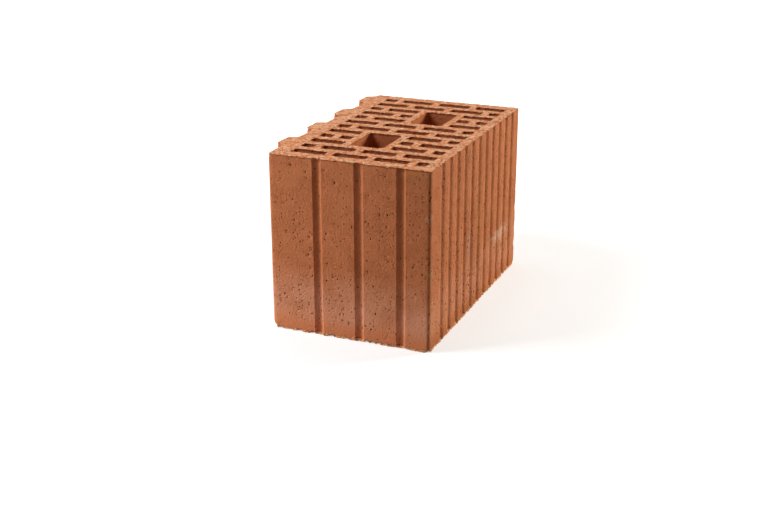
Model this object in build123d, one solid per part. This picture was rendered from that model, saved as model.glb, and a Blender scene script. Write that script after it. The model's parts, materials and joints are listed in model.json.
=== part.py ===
from build123d import *

import math
import os

# One fired clay block, extruded upright and cut to height, so its whole shape is a plan times a height.
# Millimetres. X runs along the wall, Y through the wall, Z up. The origin is at the middle of the
# block's box, on the face it stands on. The front face, with its wide grooves, looks towards -Y,
# the tongues stand on the -X side and the fine grooves run down the +X side.

# Overall size
block_depth = 375.0
body_width = 231.0
block_height = 249.0
corner_radius = 5.0

# Walls and webs between the holes
tongue_side_wall = 23.0
groove_side_wall = 15.0
thinnest_end_wall = 16.0
row_web = 13.0
end_web = 10.0

# Slots, laid in rows like bricks in a wall: every other row is moved by half a step
slot_width = 16.0
slot_length = 49.0
shortest_slot = 12.0
slot_corner_radius = 3.0

# Two grip holes, each in the place of one slot in three rows
grip_rows = 3
end_rows = 2
front_grip_index = 1
back_grip_index = 2
grip_corner_radius = 8.0

# Tongues on the -X side
tongue_height = 14.0
tongue_root = 46.0
tongue_tip = 31.0
tongue_pitch = 90.5
first_tongue = 69.5
tongue_radius = 5.0

# Wide plaster grooves, the same on the front and the back face
wide_groove_width = 13.0
wide_groove_depth = 4.8
wide_groove_pitch = 59.5
wide_groove_margin = 41.5

# Fine grooves on the +X side
fine_groove_width = 11.5
fine_groove_depth = 3.2
fine_groove_pitch = 29.6
first_fine_groove = 45.0
last_rib = 25.0

# Distance below which two places count as one
hair = 0.01

# Places that follow from the sizes above
right = (body_width + tongue_height) / 2
left = right - body_width
front = -block_depth / 2
back = block_depth / 2
field_left = left + tongue_side_wall
field_right = right - groove_side_wall
slot_step = slot_length + end_web
row_step = slot_width + row_web
row_count = math.floor((block_depth - 2 * thinnest_end_wall + row_web) / row_step)
first_row = -(row_count - 1) * row_step / 2


def spots(first, last, step):
    """Evenly stepped places, as many as fit between first and last."""
    count = math.floor((last - first) / step) + 1
    return [first + i * step for i in range(count)]


def hole(span_x, span_y, radius):
    """A rectangular hole between two X and two Y values, with rounded corners."""
    width = span_x[1] - span_x[0]
    length = span_y[1] - span_y[0]
    limited = min(radius, 0.45 * width, 0.45 * length)
    middle = Location(((span_x[0] + span_x[1]) / 2, (span_y[0] + span_y[1]) / 2))
    return middle * RectangleRounded(width, length, limited)


def row_span(first, last):
    """The Y span of the holes from one row to another."""
    near = first_row + first * row_step - slot_width / 2
    far = first_row + last * row_step + slot_width / 2
    return near, far


def slot_span(row, number):
    """The X span of one slot, cut short where the field of holes ends."""
    half_step_back = slot_step / 2 if row % 2 else 0
    start = field_left + number * slot_step - half_step_back
    return max(start, field_left), min(start + slot_length, field_right)


def beside(span, gap):
    """What is left of an X span on the two sides of a gap."""
    return [(span[0], min(span[1], gap[0])), (max(span[0], gap[1]), span[1])]


def grip_holes():
    """Each grip hole as its first row, its last row and its X span."""
    reach = grip_rows - 1
    back_row = row_count - 1 - end_rows - reach
    places = (end_rows, front_grip_index), (back_row, back_grip_index)
    return [(row, row + reach, slot_span(row, number)) for row, number in places]


def row_of_slots(row, grips):
    """The X spans of one row's slots. They stop an end web short of a grip hole, and stumps are left out."""
    numbers = range(math.ceil((field_right - field_left) / slot_step) + 1)
    spans = [slot_span(row, number) for number in numbers]
    for first, last, grip in grips:
        if first <= row <= last:
            gap = grip[0] - end_web, grip[1] + end_web
            spans = [side for span in spans for side in beside(span, gap)]
    return [span for span in spans if span[1] - span[0] >= shortest_slot]


def holes():
    """All holes of the plan: the grip holes and the rows of slots round them."""
    grips = grip_holes()
    plan = [hole(span, row_span(first, last), grip_corner_radius) for first, last, span in grips]
    for row in range(row_count):
        for span in row_of_slots(row, grips):
            plan.append(hole(span, row_span(row, row), slot_corner_radius))
    return plan


def body_with_tongues():
    """The outer plan: a rectangle with a row of tapered tongues on its left."""
    middle = Location(((left + right) / 2, 0))
    plan = middle * Rectangle(body_width, block_depth)
    plan = fillet(plan.vertices(), corner_radius)
    inside = left + tongue_side_wall / 2
    for place in spots(front + first_tongue, back - tongue_root / 2 - corner_radius, tongue_pitch):
        outline = Polyline(
            (inside, place - tongue_root / 2),
            (left, place - tongue_root / 2),
            (left - tongue_height, place - tongue_tip / 2),
            (left - tongue_height, place + tongue_tip / 2),
            (left, place + tongue_root / 2),
            (inside, place + tongue_root / 2),
            close=True,
        )
        plan += make_face(outline)
    straight = back - corner_radius
    on_tongues = [v for v in plan.vertices() if v.X < left + hair and abs(v.Y) < straight - hair]
    return fillet(on_tongues, tongue_radius)


def groove(width, depth):
    """A circle that dips into a face at Y = 0 by this depth and is this wide there."""
    radius = (width * width / 4 + depth * depth) / (2 * depth)
    return Location((0, depth - radius)) * Circle(radius)


def grooves():
    """The plaster grooves of the front and back faces and the fine grooves of the right side."""
    wide = groove(wide_groove_width, wide_groove_depth)
    fine = groove(fine_groove_width, fine_groove_depth)
    plan = []
    for inset in spots(wide_groove_margin, body_width - wide_groove_margin, wide_groove_pitch):
        plan.append(Location((right - inset, front)) * wide)
        plan.append(Location((right - inset, back), (0, 0, 180)) * wide)
    for place in spots(front + first_fine_groove, back - last_rib, fine_groove_pitch):
        plan.append(Location((right, place), (0, 0, 90)) * fine)
    return plan


plan = body_with_tongues() - grooves() - holes()
clay_block = extrude(plan, block_height)
clay_block.label = "clay_block"

os.makedirs("parts", exist_ok=True)
export_step(clay_block, "parts/clay_block.step")
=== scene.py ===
import json
import math
import random
from collections import namedtuple

import bmesh
import bpy
import numpy as np
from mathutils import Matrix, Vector, geometry, kdtree, noise
from mathutils.bvhtree import BVHTree

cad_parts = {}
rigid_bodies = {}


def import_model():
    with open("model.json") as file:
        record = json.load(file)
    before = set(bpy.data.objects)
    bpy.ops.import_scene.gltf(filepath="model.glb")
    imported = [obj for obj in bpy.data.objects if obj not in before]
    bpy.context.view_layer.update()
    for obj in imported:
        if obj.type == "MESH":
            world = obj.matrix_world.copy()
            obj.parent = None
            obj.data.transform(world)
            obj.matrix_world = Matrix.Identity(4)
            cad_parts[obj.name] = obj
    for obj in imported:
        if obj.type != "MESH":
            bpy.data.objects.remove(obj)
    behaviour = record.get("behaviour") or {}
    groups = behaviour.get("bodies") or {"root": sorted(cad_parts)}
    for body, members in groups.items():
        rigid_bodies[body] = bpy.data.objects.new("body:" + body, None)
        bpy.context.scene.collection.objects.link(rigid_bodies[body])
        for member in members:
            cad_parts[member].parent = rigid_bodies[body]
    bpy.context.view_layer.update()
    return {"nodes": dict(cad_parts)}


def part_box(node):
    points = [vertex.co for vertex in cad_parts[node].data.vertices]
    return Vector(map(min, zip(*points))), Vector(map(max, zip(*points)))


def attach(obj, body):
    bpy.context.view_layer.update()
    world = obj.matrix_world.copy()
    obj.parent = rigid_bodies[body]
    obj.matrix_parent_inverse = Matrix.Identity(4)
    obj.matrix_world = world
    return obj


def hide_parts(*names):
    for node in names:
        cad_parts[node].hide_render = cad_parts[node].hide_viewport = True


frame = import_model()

# One fired clay block as a single closed mesh. It takes its outlines from the solid block and adds what
# cutting, drying and firing leave: torn rims, rough cut faces, pits, worn lips and chipped edges.
# Lengths are in millimetres until the mesh is made.
MM = 0.001
node = frame["nodes"]["clay_block"]
low, high = (Vector(corner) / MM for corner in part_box("clay_block"))
block_height = high.z

# Spacing of the mesh
rim_step = 1.05
top_step = 2.1
bed_step = 3.6
side_step = 5.0
fine_step = 1.8
groove_row_step = 5.0
sharp_turn = 30.0
slight_turn = 3.0

# The sides lie a little inside the box, so that the torn edges stay in it, but not the ground of a groove
setback = 0.6
full_depth = 3.2
shallowest_cut = 0.1

# Where grooves are: within this depth of a side, and this far from the sides beside it
deepest_fine_groove = 3.4
deepest_wide_groove = 5.0
first_fine_groove = 13.0
first_wide_groove = 10.0
tongue_edge = 24.0

# The cutting wire ran towards -Y and pulled the clay out over the edge of each void, where it hangs in a
# ragged lip, and it smeared clay over the ends of the grooves. Each ring of a rim has its depth, its shares
# of the lip's hang, reach and undercut, how far it fills the grooves, and how torn it is.
longest_burr = 1.15
longest_hang = 0.75
hole_undercut = 0.5
side_undercut = 1.4
Ring = namedtuple("Ring", "depth hang reach undercut fill torn")
rim_rings = (
    Ring(0.0, 0.0, 1.0, 0.0, 1.0, 1.0),
    Ring(0.5, 1.0, 0.9, 0.0, 0.9, 0.7),
    Ring(1.4, 1.0, 0.1, 1.0, 0.5, 0.1),
    Ring(4.4, 0.0, 0.0, 0.3, 0.0, 0.0),
)

# Heights of the rings inside the holes, and of the rows at the foot with their share of the wear and how
# torn they are. Holes have the two lowest of these rows.
deep_rings = (239.0, 214.0, 160.0, 95.0, 35.0, 7.0, 4.0)
foot_rows = ((4.6, 0.0, 0.25), (3.1, 0.15, 0.65), (1.5, 0.6, 1.0), (0.0, 1.0, 1.0))

# Heights of the even rows that close the torn edges, and the limits of what is scattered between them
even_rows = (block_height - 7.5, 6.8)
highest_place = block_height - 12.0
lowest_place = 9.5

# Small pits in the sides: how many, the lowest one and their half widths
pit_count = 1200
lowest_pit = 11.5
pit_radii = (0.6, 0.7, 0.8, 0.95, 1.15, 1.5)

# Chips broken out of the edges, each a ball that bites into the clay: its middle and its radius
foot_chip_count = 110
chip_roughness = 0.8
chip_margin = 1.5
large_chips = (
    ((-114.0, -189.0, -3.0), 13.0),
    ((126.5, -191.5, -4.0), 12.5),
    ((127.5, 192.5, -6.0), 16.5),
    ((127.0, 191.5, 34.0), 11.6),
    ((127.0, 191.5, 60.0), 11.0),
    ((127.0, 191.5, 93.0), 11.4),
    ((127.0, 191.5, 124.0), 10.4),
    ((-113.0, 192.0, 141.0), 9.5),
    ((-126.0, -134.0, 1.0), 6.0),
    ((-126.5, 47.0, 120.0), 6.0),
    ((40.0, 190.0, -2.5), 6.0),
    ((125.0, -96.0, -2.0), 5.0),
    ((125.5, 32.0, -2.5), 5.5),
    ((58.0, -190.5, -3.0), 5.5),
    ((125.0, -177.0, 67.0), 4.0),
    ((125.2, -179.0, 59.5), 4.2),
)


# Outlines, random relief and the skin that collects vertices and faces

def unit(vectors):
    """Each row at length one."""
    return vectors / np.maximum(np.hypot(vectors[:, 0], vectors[:, 1]), 1e-9)[:, None]


def rough(points, size, seed):
    """Smooth random numbers from about -1 to 1 at 2-D or 3-D points. Size is the width of one bump."""
    points = np.asarray(points, float)
    if points.shape[1] == 2:
        points = np.column_stack([points, np.zeros(len(points))])
    return np.array([noise.noise(Vector(p)) for p in points / size + 31.7 * seed])


def outlines_of(node):
    """The closed outlines of the node's flat top, the longest first, with the clay on their left."""
    bm = bmesh.new()
    bm.from_mesh(node.data)
    bmesh.ops.remove_doubles(bm, verts=bm.verts, dist=1e-6)
    bm.verts.index_update()
    bm.faces.index_update()
    top = max(v.co.z for v in bm.verts)
    lid = [min(v.co.z for v in face.verts) > top - 1e-5 for face in bm.faces]
    follows = {}
    for face in bm.faces:
        if lid[face.index]:
            for corner in face.loops:
                if not lid[corner.link_loop_radial_next.face.index]:
                    follows[corner.vert.index] = corner.link_loop_next.vert.index
    places = [v.co.xy / MM for v in bm.verts]
    bm.free()
    lines = []
    while follows:
        start, here = follows.popitem()
        line = [places[start]]
        while here != start:
            line.append(places[here])
            here = follows.pop(here)
        lines.append(np.array(line))
    return sorted(lines, key=len, reverse=True)


def turns(line):
    """The angle in degrees by which a closed line turns at each of its points."""
    ahead = np.roll(line, -1, 0) - line
    behind = np.roll(ahead, 1, 0)
    cross = behind[:, 0] * ahead[:, 1] - behind[:, 1] * ahead[:, 0]
    return np.abs(np.degrees(np.arctan2(cross, (behind * ahead).sum(1))))


class Outline:
    """A closed line of the plan with points about a step apart. Its sharp corners, the lips, stay in place."""

    def __init__(self, line, step):
        corners = np.flatnonzero(turns(line) > sharp_turn)
        if len(corners):
            line = np.roll(line, -corners[0], 0)
            corners = corners - corners[0]
        closed = np.vstack([line, line[:1]])
        far = np.concatenate([[0.0], np.cumsum(np.hypot(*np.diff(closed, axis=0).T))])
        stops = [far[i] for i in corners] or [0.0]
        self.length = far[-1]
        self.lips = []
        places = []
        for start, end in zip(stops, stops[1:] + [self.length]):
            self.lips.append(len(places))
            count = 2 * max(1, round((end - start) / step / 2))
            places += list(np.linspace(start, end, count, endpoint=False))
        self.s = np.array(places)
        self.points = np.column_stack([np.interp(places, far, axis) for axis in closed.T])
        self.bent = np.flatnonzero(turns(self.points) > slight_turn)
        ahead = unit(np.roll(self.points, -1, 0) - self.points)
        along = unit(ahead + np.roll(ahead, 1, 0))
        self.away = np.column_stack([along[:, 1], -along[:, 0]])

    def at(self, s):
        """Points at these distances along the line, and the directions away from the clay."""
        axes = (*self.points.T, *self.away.T)
        x, y, away_x, away_y = [np.interp(s, self.s, axis, period=self.length) for axis in axes]
        return np.column_stack([x, y]), unit(np.column_stack([away_x, away_y]))


class Skin:
    """The block's vertices and faces while they are put together."""

    def __init__(self):
        self.points = []
        self.torn = []
        self.pit = []
        self.faces = []

    def add(self, plan, z, torn=0.0, pit=0.0):
        """Adds vertices over these points of the plan and gives back their numbers."""
        first = len(self.points)
        count = len(plan)
        self.points += list(zip(*np.transpose(plan), np.broadcast_to(z, count)))
        self.torn += list(np.broadcast_to(torn, count))
        self.pit += list(np.broadcast_to(pit, count))
        return list(range(first, first + count))

    def strip(self, upper, lower):
        """Faces between two closed rings with as many points."""
        for i in range(len(upper)):
            j = (i + 1) % len(upper)
            self.faces += [(lower[i], lower[j], upper[j]), (lower[i], upper[j], upper[i])]

    def halving(self, upper, lower):
        """Faces between a ring and one below it with half as many points."""
        for i in range(len(lower)):
            j = (i + 1) % len(lower)
            left, middle, right = upper[2 * i], upper[2 * i + 1], upper[(2 * i + 2) % len(upper)]
            self.faces += [
                (lower[i], middle, left),
                (lower[i], lower[j], middle),
                (lower[j], right, middle),
            ]


def triangles(points, edges, rings):
    """Delaunay triangles between 2-D points. They keep the edges and fill the first ring, not the others."""
    found = geometry.delaunay_2d_cdt([Vector(p) for p in points], edges, rings, 0, 1e-6, True)
    source = [made_from[0] for made_from in found[3]]
    wanted = [0] if rings else []
    return [tuple(source[i] for i in face) for face, around in zip(found[2], found[5]) if around == wanted]


def tree_of(points):
    """A search tree of 2-D points."""
    tree = kdtree.KDTree(len(points))
    for i, point in enumerate(points):
        tree.insert((point[0], point[1], 0.0), i)
    tree.balance()
    return tree


def scattered(start, end, step, draw):
    """Points in staggered rows between two corners, each moved a little at random."""
    row_step = step * math.sqrt(3) / 2
    points = []
    for row in range(math.ceil((end[1] - start[1]) / row_step)):
        for i in range(math.ceil((end[0] - start[0]) / step)):
            x = start[0] + (i + 0.5 * (row % 2) + draw.uniform(-0.25, 0.25)) * step
            y = start[1] + (row + draw.uniform(-0.25, 0.25)) * row_step
            points.append((x, y))
    return points


# Relief of the cut faces, the rims and the sides

def cut_depth(plan):
    """How far the rough cut face lies below the highest place it reaches."""
    lumps = rough(plan, 15.0, 1)
    tears = rough(plan, 5.0, 2)
    drag = rough(plan * (1.0, 0.6), 2.4, 3)
    return np.maximum(0.4 + 0.2 * lumps + 0.35 * tears + 0.4 * drag, 0.0) + shallowest_cut


def burr(outline):
    """How far the torn rim reaches out over the void at each point of an outline."""
    pulled = -outline.away[:, 1]
    reach = np.interp(pulled, (-1.0, -0.3, 0.3, 1.0), (0.15, 0.5, 0.8, longest_burr))
    rest = np.interp(pulled, (-1.0, 0.0, 1.0), (-0.9, -0.4, -0.2))
    return rest + reach * teeth(outline)


def teeth(outline):
    """The ragged line of the torn lips from 0 to 1."""
    waves = rough(outline.points, 6.0, 4)
    tears = rough(outline.points, 1.7, 5)
    return np.clip(0.35 + 0.5 * waves + 1.5 * tears, 0.0, 1.0)


def set_back(plan):
    """The plan's points moved in from the sides of the box, less so the deeper they lie in a groove."""
    moved = plan.copy()
    for axis in (0, 1):
        for side in (low[axis], high[axis]):
            depth = np.abs(plan[:, axis] - side)
            moved[:, axis] -= math.copysign(setback, side) * np.clip(1.0 - depth / full_depth, 0.0, 1.0)
    return moved


def way_out(plan):
    """The way from the ground of a groove to the face it is cut into, and nothing at other points."""
    x, y = plan.T
    in_x = high.x - setback - x
    in_y = high.y - setback - np.abs(y)
    fine = (in_x > 0.0) & (in_x < deepest_fine_groove) & (in_y > first_fine_groove)
    beside = (in_x > first_wide_groove) & (x > low.x + tongue_edge)
    wide = (in_y > 0.0) & (in_y < deepest_wide_groove) & beside
    return np.column_stack([np.where(fine, in_x, 0.0), np.where(wide, in_y * np.sign(y), 0.0)])


def groove_fill(plan, seed):
    """How far smeared clay fills the ends of the grooves."""
    cover = np.clip(0.75 + 0.7 * rough(plan, 4.0, seed), 0.0, 1.0)
    return way_out(plan) * (1.0, 0.8) * cover[:, None]


def foot_wear(plan):
    """How far the ragged edge at the foot is worn back."""
    return np.maximum(0.2 + 0.7 * rough(plan, 9.0, 6) + 1.3 * rough(plan, 2.3, 7), 0.05 - setback)


def side_relief(places):
    """How far the drawn sides swell and sink."""
    return 0.14 * rough(places, 60.0, 8) + 0.06 * rough(places, 8.0, 9)


def lip_wear(places, away):
    """How far the sharp lips are worn back, more on the right and left sides than in front and behind."""
    share = np.interp(np.abs(away[:, 0]), (0.62, 0.8), (0.1, 0.65))
    return share * np.maximum(0.2 + 0.9 * rough(places, 5.5, 10) + 0.6 * rough(places, 14.0, 11), 0.0)


def foot_chips(line, draw):
    """Small chips at random places along the foot of the sides, apart from the grooves."""
    outline = Outline(line, rim_step)
    found = []
    while len(found) < foot_chip_count:
        point, away = outline.at([draw.uniform(0.0, outline.length)])
        radius = draw.uniform(2.5, 6.5)
        x, y = point[0] + away[0] * radius * draw.uniform(0.2, 0.6)
        if np.abs(way_out(point)).max() < 0.5:
            found.append(((x, y, -radius * draw.uniform(0.2, 0.7)), radius))
    return found


def chipped(points, chips):
    """The points with those inside a chip's ball moved out onto it, and how much each of them moved."""
    points = np.array(points)
    moved = np.zeros(len(points))
    for middle, radius in chips:
        away = points - middle
        distance = np.linalg.norm(away, axis=1)
        near = np.flatnonzero(distance < radius + chip_margin)
        if len(near):
            uneven = radius + chip_roughness * rough(points[near], 3.0, 12)
            bite = np.maximum(uneven - distance[near], 0.0)
            points[near] += away[near] / distance[near, None] * bite[:, None]
            moved[near] = np.maximum(moved[near], bite)
    return points, moved


# The parts of the skin

def add_rim(skin, outline, reach, undercut, fill):
    """The rings of a torn rim, the one on the cut face first."""
    pulled = -outline.away[:, 1]
    under = undercut * np.interp(pulled, (-0.5, 0.0, 1.0), (0.0, 0.35, 1.0))
    hang = longest_hang * np.interp(pulled, (-0.5, 1.0), (0.1, 1.0)) * teeth(outline)
    lip = outline.points + outline.away * reach[:, None] + fill
    edge = block_height - cut_depth(lip) - 0.2 * np.maximum(reach, 0.0)
    rings = []
    for ring in rim_rings:
        plan = outline.points + outline.away * (reach * ring.reach - under * ring.undercut)[:, None]
        rings.append(skin.add(plan + fill * ring.fill, edge - ring.depth - hang * ring.hang, ring.torn))
    return rings


def add_hole(skin, line):
    """The wall of one hole, from its torn rim to its foot. Gives back the rings on the two cut faces."""
    outline = Outline(line, rim_step)
    rings = add_rim(skin, outline, burr(outline), hole_undercut, 0.0)
    for upper, lower in zip(rings, rings[1:]):
        skin.strip(upper, lower)
    points = outline.points[::2]
    away = outline.away[::2]
    upper = rings[-1]
    join = skin.halving
    for z in deep_rings:
        place = np.column_stack([points, np.full(len(points), z)])
        lower = skin.add(points + away * (0.25 * rough(place, 30.0, 13))[:, None], z)
        join(upper, lower)
        join = skin.strip
        upper = lower
    wear = foot_wear(points)
    for z, share, torn in foot_rows[2:]:
        lower = skin.add(points - away * (wear * share)[:, None], z, torn)
        skin.strip(upper, lower)
        upper = lower
    return rings[0], upper


def add_cut_face(skin, rings, step, draw, on_top):
    """The top or the bed: a rough sheet between the rings of all outlines."""
    ids = [i for ring in rings for i in ring]
    points = [skin.points[i][:2] for i in ids]
    ends = np.cumsum([len(ring) for ring in rings])
    borders = [list(range(end - len(ring), end)) for ring, end in zip(rings, ends)]
    borders[1:] = [border[::-1] for border in borders[1:]]
    rims = tree_of(points)
    margin = Vector((2.0, 2.0))
    clay = BVHTree.FromObject(node, bpy.context.evaluated_depsgraph_get())
    inside = []
    for x, y in scattered(low.xy + margin, high.xy - margin, step, draw):
        over = clay.ray_cast(Vector((x * MM, y * MM, 1.0)), Vector((0.0, 0.0, -1.0)))[0]
        if over and rims.find((x, y, 0.0))[2] > 0.75 * step:
            inside.append((x, y))
    plan = np.array(inside)
    height = block_height - cut_depth(plan) if on_top else 0.25 + 0.25 * rough(plan, 9.0, 14)
    ids += skin.add(plan, height, 1.0)
    for a, b, c in triangles(points + inside, [], borders):
        skin.faces.append((ids[a], ids[b], ids[c]) if on_top else (ids[c], ids[b], ids[a]))


def scatter_pits(outline, draw):
    """Small pits in the flat parts of the sides: each one's place, half width, stretch and depth."""
    bends = np.append(outline.s[outline.bent], outline.length)
    pits = []
    while len(pits) < pit_count:
        s = draw.uniform(0.0, outline.length)
        z = draw.uniform(lowest_pit, highest_place)
        radius = draw.choice(pit_radii)
        point = outline.at([s])[0][0]
        cluster = 0.45 + 0.9 * rough([(*point, z)], 38.0, 15)[0]
        chance = cluster * np.interp(z, (10.0, 60.0, 150.0, 235.0), (0.35, 1.0, 0.9, 0.35))
        chance *= np.interp(point[0], (100.0, 120.0), (0.5, 1.0))
        clear = np.abs(bends - s).min() > radius + 0.7
        apart = all(math.hypot(s - p[0], z - p[1]) > 2.0 * radius + 2.0 * p[2] + 1.4 for p in pits)
        if clear and apart and draw.random() < chance:
            pits.append((s, z, radius, draw.uniform(1.0, 1.9), radius * draw.uniform(0.9, 1.4)))
    return pits


class Sheet:
    """The sides unrolled: places as distance along the outline and height, each with its vertex's number."""

    def __init__(self, outline):
        self.outline = outline
        self.places = []
        self.ids = []
        self.edges = []

    def add(self, s, z, ids):
        """Adds places that stand for these vertices. A place at the start of the outline is its end too."""
        numbers = list(range(len(self.places), len(self.places) + len(ids)))
        self.places += list(zip(s, np.broadcast_to(z, len(ids))))
        self.ids += ids
        seam = [(z_here, i) for (s_here, z_here), i in zip(self.places[-len(ids):], ids) if s_here == 0.0]
        for z_here, i in seam:
            self.places.append((self.outline.length, z_here))
            self.ids.append(i)
        return numbers

    def chain(self, s):
        """Keeps the upright line at one place along the outline as edges."""
        line = sorted((z, i) for i, (s_here, z) in enumerate(self.places) if abs(s_here - s) < 1e-6)
        self.edges += [(a, b) for (_, a), (_, b) in zip(line, line[1:])]


def near_chips(points, reach):
    """Which of the points lie near a large chip."""
    found = np.zeros(len(points), bool)
    for middle, radius in large_chips:
        found |= np.linalg.norm(points - np.array(middle), axis=1) < radius + reach
    return found


def side_places(outline, draw):
    """The free places on the sides, between the torn edge and the foot, apart from pits."""
    places = []
    for index in outline.bent[outline.bent % 2 == 0]:
        levels = set(np.round(np.arange(lowest_place + 1.0, highest_place, groove_row_step), 2))
        x, y = outline.points[index]
        close = np.round(np.arange(lowest_place, highest_place, fine_step), 2)
        column = np.column_stack([np.full(len(close), x), np.full(len(close), y), close])
        levels |= set(close[near_chips(column, 0.0)])
        places += [(outline.s[index], z) for z in sorted(levels)]
    bends = outline.s[outline.bent]
    for step, by_chip in ((side_step, False), (fine_step, True)):
        free = np.array(scattered((0.0, lowest_place), (outline.length, highest_place), step, draw))
        clear = np.abs(free[:, :1] - bends).min(1) > 0.55 * step
        free = free[clear & (free[:, 0] < outline.length - 0.55 * step)]
        near = near_chips(np.column_stack([outline.at(free[:, 0])[0], free[:, 1]]), 1.0)
        places += list(map(tuple, free[near == by_chip]))
    return places


def add_sides(skin, line, draw):
    """The outer sides from the torn edge to the foot. Gives back the rings on the two cut faces."""
    outline = Outline(line, rim_step)
    outline.points = set_back(outline.points)
    sheet = Sheet(outline)
    fill = groove_fill(outline.points, 17)
    reach = np.clip(0.7 * burr(outline) - 0.4, -1.2, setback - 0.05) / (1.0 + np.hypot(*fill.T))
    rings = add_rim(skin, outline, reach, side_undercut, fill)
    for ring, rim_ring in zip(rings, rim_rings):
        sheet.add(outline.s, block_height - rim_ring.depth, ring)
    even = np.arange(0, len(outline.s), 2)
    for z in even_rows:
        sheet.add(outline.s[even], z, skin.add(outline.points[even], z))
    fill = groove_fill(outline.points, 18)
    wear = foot_wear(outline.points) / (1.0 + np.hypot(*fill.T))
    for z, share, torn in foot_rows:
        foot = skin.add(outline.points + (fill - outline.away * wear[:, None]) * share, z, torn)
        sheet.add(outline.s, z, foot)

    places = side_places(outline, draw)
    pits = scatter_pits(outline, draw)
    pit_tree = tree_of([(p[0], p[1]) for p in pits])
    free = []
    for s, z in places:
        _, index, distance = pit_tree.find((s, z, 0.0))
        if distance > pits[index][2] * pits[index][3] + 1.2:
            free.append((s, z))
    sunk = [0.0] * len(free)
    for s, z, radius, stretch, depth in pits:
        free.append((s, z))
        sunk.append(depth)
        for angle in np.arange(6) * math.pi / 3 + draw.uniform(0.0, 1.0):
            size = radius * draw.uniform(0.8, 1.2)
            free.append((s + size * math.cos(angle), z + size * stretch * math.sin(angle)))
            sunk.append(0.0)
    free = np.array(free)
    sunk = np.array(sunk)
    plan, away = outline.at(free[:, 0])
    place = np.column_stack([plan, free[:, 1]])
    on_lip = np.abs(free[:, :1] - outline.s[outline.lips]).min(1) < 1e-6
    offset = side_relief(place) - sunk - np.where(on_lip, lip_wear(place, away), 0.0)
    ids = skin.add(plan + away * offset[:, None], free[:, 1], 0.0, np.where(sunk > 0.0, 1.0, 0.0))
    sheet.add(free[:, 0], free[:, 1], ids)

    for s in [*outline.s[outline.lips], outline.length]:
        sheet.chain(s)
    for a, b, c in triangles(sheet.places, sheet.edges, []):
        skin.faces.append((sheet.ids[a], sheet.ids[b], sheet.ids[c]))
    return rings[0], foot


def fired_block():
    """The whole block as one mesh object."""
    draw = random.Random(11)
    skin = Skin()
    lines = outlines_of(node)
    tops = []
    beds = []
    for number, line in enumerate(lines):
        top, bed = add_hole(skin, line) if number else add_sides(skin, line, draw)
        tops.append(top)
        beds.append(bed)
    add_cut_face(skin, tops, top_step, draw, True)
    add_cut_face(skin, beds, bed_step, draw, False)
    points, moved = chipped(skin.points, [*large_chips, *foot_chips(lines[0], draw)])
    points = np.clip(points, low, high)
    mesh = bpy.data.meshes.new("fired_block")
    mesh.from_pydata((points * MM).tolist(), [], skin.faces)
    torn = np.maximum(skin.torn, np.clip(moved * 1.5, 0.0, 1.0))
    for name, values in (("torn", torn), ("pit", np.array(skin.pit))):
        mesh.attributes.new(name, "FLOAT", "POINT").data.foreach_set("value", values.astype(np.float32))
    mesh.shade_smooth()
    mesh.set_sharp_from_angle(angle=math.radians(48.0))
    block = bpy.data.objects.new("fired_block", mesh)
    bpy.context.scene.collection.objects.link(block)
    return block


# Materials

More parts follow.
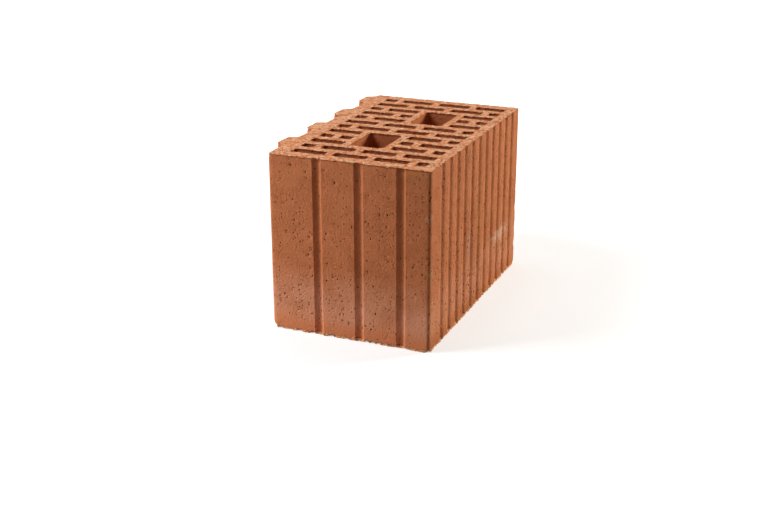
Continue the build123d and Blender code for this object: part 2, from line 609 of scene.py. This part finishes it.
class Shader:
    """Short calls for a material's nodes. Sizes of features are in millimetres."""

    def __init__(self, name):
        self.material = bpy.data.materials.new(name)
        self.material.use_nodes = True
        self.tree = self.material.node_tree
        self.tree.nodes.clear()
        self.place = self.node("ShaderNodeTexCoord").outputs["Object"]

    def node(self, kind, inputs=(), **settings):
        """A node with its settings and with values or sockets on its inputs."""
        made = self.tree.nodes.new(kind)
        for key, value in settings.items():
            setattr(made, key, value)
        for key, value in dict(inputs).items():
            if isinstance(value, bpy.types.NodeSocket):
                self.tree.links.new(value, made.inputs[key])
            else:
                made.inputs[key].default_value = value
        return made

    def math(self, operation, first, second=0.0):
        """The result of a sum, product or the like of two values."""
        return self.node("ShaderNodeMath", {0: first, 1: second}, operation=operation).outputs[0]

    def total(self, *terms):
        """The sum of values that are each taken a number of times."""
        result = 0.0
        for value, times in terms:
            result = self.math("ADD", self.math("MULTIPLY", value, times), result)
        return result

    def smooth(self, value, start, end):
        """A soft step from 0 at the start to 1 at the end."""
        inputs = {"Value": value, "From Min": start, "From Max": end}
        return self.node("ShaderNodeMapRange", inputs, interpolation_type="SMOOTHSTEP").outputs[0]

    def mix(self, share, first, second):
        """A colour between two colours."""
        inputs = {0: share, 6: first, 7: second}
        return self.node("ShaderNodeMix", inputs, data_type="RGBA").outputs[2]

    def between(self, share, first, second):
        """A value between two values."""
        return self.node("ShaderNodeMix", {0: share, 2: first, 3: second}, data_type="FLOAT").outputs[0]

    def noise(self, size, seed, detail=2.0, stretch=(1.0, 1.0, 1.0)):
        """Noise with bumps of this size, drawn out where a stretch is below one."""
        inputs = {"Vector": self.place, "Location": (seed, 0.7 * seed, 1.3 * seed), "Scale": stretch}
        moved = self.node("ShaderNodeMapping", inputs).outputs[0]
        inputs = {"Vector": moved, "Scale": 1.0 / (size * MM), "Detail": detail}
        return self.node("ShaderNodeTexNoise", inputs).outputs["Fac"]

    def dots(self, spacing, radius, share, stretch=(1.0, 1.0, 1.0)):
        """Round dots at random places, in this share of the cells."""
        moved = self.node("ShaderNodeMapping", {"Vector": self.place, "Scale": stretch}).outputs[0]
        cells = self.node("ShaderNodeTexVoronoi", {"Vector": moved, "Scale": 1.0 / (spacing * MM)})
        dot = self.smooth(cells.outputs["Distance"], 1.4 * radius / spacing, 0.6 * radius / spacing)
        level = self.node("ShaderNodeSeparateColor", {0: cells.outputs["Color"]}).outputs[0]
        return self.math("MULTIPLY", dot, self.math("LESS_THAN", level, share))

    def blot(self, middle, half_sizes, seed):
        """A soft patch with ragged edges round a place on the object."""
        scale = [1.0 / (size * MM) for size in half_sizes]
        location = [-place / size for place, size in zip(middle, half_sizes)]
        inputs = {"Vector": self.place, "Location": location, "Scale": scale}
        moved = self.node("ShaderNodeMapping", inputs).outputs[0]
        length = self.node("ShaderNodeVectorMath", {0: moved}, operation="LENGTH").outputs["Value"]
        ragged = self.math("ADD", length, self.total((self.noise(6.0, seed, 4.0), 2.4), (1.2, -1.0)))
        return self.smooth(ragged, 1.25, 0.35)

    def attribute(self, name):
        """A number stored at the mesh's vertices."""
        return self.node("ShaderNodeAttribute", attribute_name=name).outputs["Fac"]


# Patches on the drawn sides: middle, half sizes, colour and strength
patches = (
    ((103.0, -187.0, 236.0), (24.0, 6.0, 14.0), (0.40, 0.155, 0.055), 0.4),
    ((90.5, -187.0, 244.5), (3.5, 5.0, 4.5), (0.55, 0.20, 0.03), 0.6),
    ((99.5, -187.0, 244.0), (3.5, 5.0, 5.5), (0.55, 0.20, 0.03), 0.6),
    ((120.5, -184.0, 186.0), (7.0, 7.0, 7.0), (0.56, 0.29, 0.155), 0.5),
    ((121.0, -183.0, 108.0), (7.0, 9.0, 12.0), (0.54, 0.25, 0.12), 0.5),
    ((106.0, -187.0, 24.0), (16.0, 6.0, 14.0), (0.68, 0.29, 0.17), 0.15),
    ((122.0, 105.0, 74.0), (5.0, 40.0, 11.0), (0.72, 0.48, 0.34), 0.5),
    ((122.0, -32.0, 100.0), (5.0, 10.0, 30.0), (0.40, 0.25, 0.22), 0.5),
    ((119.5, -41.0, 224.0), (4.0, 5.0, 24.0), (0.20, 0.10, 0.07), 0.7),
    ((122.0, 9.0, 132.0), (5.0, 8.0, 45.0), (0.60, 0.24, 0.07), 0.5),
    ((-60.0, 187.0, 60.0), (46.0, 6.0, 30.0), (0.63, 0.31, 0.2), 0.5),
    ((70.0, 187.0, 190.0), (30.0, 6.0, 22.0), (0.40, 0.17, 0.07), 0.5),
    ((-122.0, 62.0, 150.0), (6.0, 22.0, 40.0), (0.66, 0.38, 0.25), 0.45),
    ((-109.0, -70.0, 60.0), (6.0, 26.0, 26.0), (0.38, 0.18, 0.10), 0.45),
)

# Colours of the clay where it was drawn and where it was cut, and of painted light and shade on it
dark_drawn = (0.43, 0.132, 0.048, 1.0)
light_drawn = (0.58, 0.192, 0.078, 1.0)
# Painted light: drawn clay made paler towards the foot, standing in for light thrown up from the floor
painted_floor_light = (0.74, 0.245, 0.105, 1.0)
# Painted shade in the ground of the fine grooves on the right side
painted_groove_shade = (0.30, 0.085, 0.025, 1.0)
bloom = (0.78, 0.34, 0.20, 1.0)
orange_cut = (0.74, 0.24, 0.09, 1.0)
# Torn clay at the foot: its own orange, painted brighter as if lit from the floor below
broken_and_floor_light = (1.0, 0.44, 0.20, 1.0)
pink_cut = (0.91, 0.39, 0.20, 1.0)
# Painted highlights on the tops of the crumbs of the cut face
painted_cut_highlight = (1.0, 0.61, 0.39, 1.0)
# Painted shade inside pits, pores and small holes
painted_hole_shade = (0.10, 0.03, 0.012, 1.0)


def fired_clay():
    """Matt fired clay: smooth where it was drawn through the die, grainy and paler where it was cut. It
    carries painted shade in its grooves, pits and pores, and painted light at the foot and on the crumbs of
    the cut face.
    """
    s = Shader("fired_clay")
    across, _, height = s.node("ShaderNodeSeparateXYZ", {0: s.place}).outputs
    grain = s.noise(1.3, 1.0, 3.0)
    streaks = s.noise(2.6, 2.0, 2.0, (1.0, 1.0, 0.05))
    mottle = s.noise(17.0, 3.0, 3.0)
    shade = s.noise(95.0, 4.0, 2.0)
    skin = s.noise(3.0, 31.0, 2.0)
    on_right = s.smooth(across, 116.0 * MM, 119.0 * MM)
    gathered = s.smooth(s.noise(42.0, 32.0, 1.0), 0.38, 0.58)
    everywhere = s.total((gathered, 0.6), (0.4, 1.0))
    pores = s.math("MULTIPLY", s.dots(4.6, 0.85, 0.5, (1.0, 1.0, 0.75)), everywhere)
    more_here = s.math("MULTIPLY", on_right, gathered)
    more = s.math("MULTIPLY", s.dots(3.4, 0.95, 0.45, (1.0, 1.0, 0.6)), more_here)
    pores = s.math("MAXIMUM", pores, more)
    pits = s.math("MAXIMUM", s.smooth(s.attribute("pit"), 0.2, 0.75), pores)

    tone = s.total((shade, 0.45), (mottle, 0.55), (streaks, 0.15), (grain, 0.8), (1.0, -0.475))
    drawn = s.mix(s.smooth(tone, 0.2, 0.8), dark_drawn, light_drawn)
    off_right = s.total((on_right, -0.9), (1.0, 1.0))
    # Painted shade: the ground of the fine grooves on the right side is darkened
    ground = s.math("MULTIPLY", s.smooth(across, 121.2 * MM, 119.6 * MM), on_right)
    drawn = s.mix(s.math("MULTIPLY", ground, 0.45), drawn, painted_groove_shade)
    # Painted light: the drawn clay grows paler towards the foot, except on the right side, as if lit from the
    # floor
    foot = s.math("MULTIPLY", s.smooth(height, 52.0 * MM, 10.0 * MM), off_right)
    drawn = s.mix(s.math("MULTIPLY", foot, 0.9), drawn, painted_floor_light)
    above_foot = s.smooth(height, 8.0 * MM, 30.0 * MM)
    band = s.math("MULTIPLY", above_foot, s.smooth(height, 105.0 * MM, 45.0 * MM))
    clouds = s.smooth(s.noise(48.0, 5.0, 4.0), 0.15, 0.65)
    clouds = s.math("MULTIPLY", clouds, s.total((off_right, 0.6), (0.4, 1.0)))
    drawn = s.mix(s.math("MULTIPLY", s.math("MULTIPLY", band, clouds), 0.75), drawn, bloom)
    for number, (middle, half_sizes, colour, strength) in enumerate(patches):
        share = s.math("MULTIPLY", s.blot(middle, half_sizes, 6.0 + number), strength)
        drawn = s.mix(share, drawn, (*colour, 1.0))
    # Painted shade inside the pits and pores of the drawn sides
    drawn = s.mix(s.math("MULTIPLY", pits, 0.85), drawn, painted_hole_shade)

    crumbs = s.noise(5.0, 20.0, 3.0)
    specks = s.dots(5.2, 1.0, 0.45)
    cut = s.mix(s.smooth(s.noise(7.0, 21.0, 4.0), 0.42, 0.54), orange_cut, pink_cut)
    # Painted highlights: the tops of the crumbs are made paler
    cut = s.mix(s.math("MULTIPLY", s.smooth(crumbs, 0.50, 0.62), 0.9), cut, painted_cut_highlight)
    # Torn clay near the foot and on the bed: its own orange with painted light from the floor below
    cut = s.mix(s.smooth(height, 12.0 * MM, 6.0 * MM), cut, broken_and_floor_light)
    # Painted shade inside the specks of the cut face and small holes near the foot
    holes = s.math("MULTIPLY", s.dots(8.0, 1.9, 0.55), s.smooth(height, 3.5 * MM, 1.5 * MM))
    specks = s.math("MAXIMUM", specks, holes)
    cut = s.mix(s.math("MULTIPLY", specks, 0.85), cut, painted_hole_shade)

    edge = s.total((s.attribute("torn"), 1.0), (s.noise(5.0, 22.0, 3.0), 1.2), (1.0, -0.6))
    torn = s.smooth(edge, 0.35, 0.65)
    drawn_relief = s.total((grain, 0.5), (skin, 1.1), (streaks, 0.08), (mottle, 0.3), (pits, -0.8))
    cut_relief = s.total((crumbs, 9.0), (s.noise(1.6, 23.0, 2.0), 0.8), (specks, -1.8))
    relief = s.between(torn, drawn_relief, cut_relief)
    bump = s.node("ShaderNodeBump", {"Height": relief, "Strength": 1.0, "Distance": MM})
    inputs = {
        "Base Color": s.mix(torn, drawn, cut),
        "Roughness": s.between(torn, 0.78, 0.95),
        "Specular IOR Level": 0.1,
        "Normal": bump.outputs[0],
    }
    surface = s.node("ShaderNodeBsdfPrincipled", inputs)
    s.node("ShaderNodeOutputMaterial", {"Surface": surface.outputs[0]})
    return s.material


def pale_floor():
    """A plain pale floor. The camera sees it as white with the block's shadow on it."""
    s = Shader("pale_floor")
    matt = s.node("ShaderNodeBsdfDiffuse", {"Color": (0.6, 0.6, 0.6, 1.0)})
    distance = s.node("ShaderNodeVectorMath", {0: s.place}, operation="LENGTH").outputs["Value"]
    strength = s.between(s.smooth(distance, 0.3, 1.0), 0.6, 1.0)
    glow = s.node("ShaderNodeEmission", {"Color": (1.0, 1.0, 1.0, 1.0), "Strength": strength})
    both = s.node("ShaderNodeAddShader", {0: matt.outputs[0], 1: glow.outputs[0]})
    seen = s.node("ShaderNodeLightPath").outputs["Is Camera Ray"]
    shown = s.node("ShaderNodeMixShader", {0: seen, 1: matt.outputs[0], 2: both.outputs[0]})
    s.node("ShaderNodeOutputMaterial", {"Surface": shown.outputs[0]})
    return s.material


def white_world(level):
    """An even grey light from all round that looks white to the camera and in reflections."""
    world = bpy.data.worlds.new("studio")
    bpy.context.scene.world = world
    world.use_nodes = True
    tree = world.node_tree
    tree.nodes.clear()
    path = tree.nodes.new("ShaderNodeLightPath")
    seen = path.outputs["Is Camera Ray"]
    for kind in ("Is Glossy Ray", "Is Transmission Ray"):
        either = tree.nodes.new("ShaderNodeMath")
        either.operation = "MAXIMUM"
        tree.links.new(seen, either.inputs[0])
        tree.links.new(path.outputs[kind], either.inputs[1])
        seen = either.outputs[0]
    strength = tree.nodes.new("ShaderNodeMapRange")
    strength.inputs["To Min"].default_value = level
    strength.inputs["To Max"].default_value = 1.0
    tree.links.new(seen, strength.inputs["Value"])
    background = tree.nodes.new("ShaderNodeBackground")
    background.inputs["Color"].default_value = (1.0, 1.0, 1.0, 1.0)
    tree.links.new(strength.outputs[0], background.inputs["Strength"])
    output = tree.nodes.new("ShaderNodeOutputWorld")
    tree.links.new(background.outputs[0], output.inputs["Surface"])


# Stage

def soft_lamp(name, place, aim, size, power, colour=(1.0, 1.0, 1.0)):
    """A square soft lamp at one place that faces another. Metres and watts."""
    light = bpy.data.lights.new(name, "AREA")
    light.size = size
    light.energy = power
    light.color = colour
    lamp = bpy.data.objects.new(name, light)
    lamp.location = place
    lamp.rotation_euler = (Vector(aim) - Vector(place)).to_track_quat("-Z", "Y").to_euler()
    bpy.context.scene.collection.objects.link(lamp)


def floor():
    """The floor just under the block."""
    half = 6.0
    level = -0.0002
    corners = [(-half, -half, level), (half, -half, level), (half, half, level), (-half, half, level)]
    mesh = bpy.data.meshes.new("floor")
    mesh.from_pydata(corners, [], [(0, 1, 2, 3)])
    mesh.materials.append(pale_floor())
    plane = bpy.data.objects.new("floor", mesh)
    bpy.context.scene.collection.objects.link(plane)


def camera():
    """The camera at the photograph's viewing angle."""
    data = bpy.data.cameras.new("camera")
    data.lens = 57.0
    data.sensor_width = 36.0
    data.clip_end = 50.0
    view = bpy.data.objects.new("camera", data)
    view.location = (0.6423, -1.5751, 0.6775)
    view.rotation_euler = (math.radians(69.99), 0.0, math.radians(22.55))
    bpy.context.scene.collection.objects.link(view)
    bpy.context.scene.camera = view


block = fired_block()
block.data.materials.append(fired_clay())
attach(block, "root")
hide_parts("clay_block")

floor()
camera()
white_world(0.05)
soft_lamp("key", (-1.15, -0.84, 1.56), (0.0, 0.0, 0.12), 0.7, 25.3)
soft_lamp("fill", (-0.6, -0.45, 0.09), (0.0, -0.15, 0.09), 0.16, 1.8)
soft_lamp("side", (2.16, 1.84, 0.95), (0.1, 0.0, 0.12), 0.8, 82.0, (1.0, 0.98, 0.86))
soft_lamp("top", (-0.2, 0.3, 1.5), (0.0, 0.0, 0.2), 0.6, 3.8)
bpy.context.scene.view_settings.view_transform = "Standard"
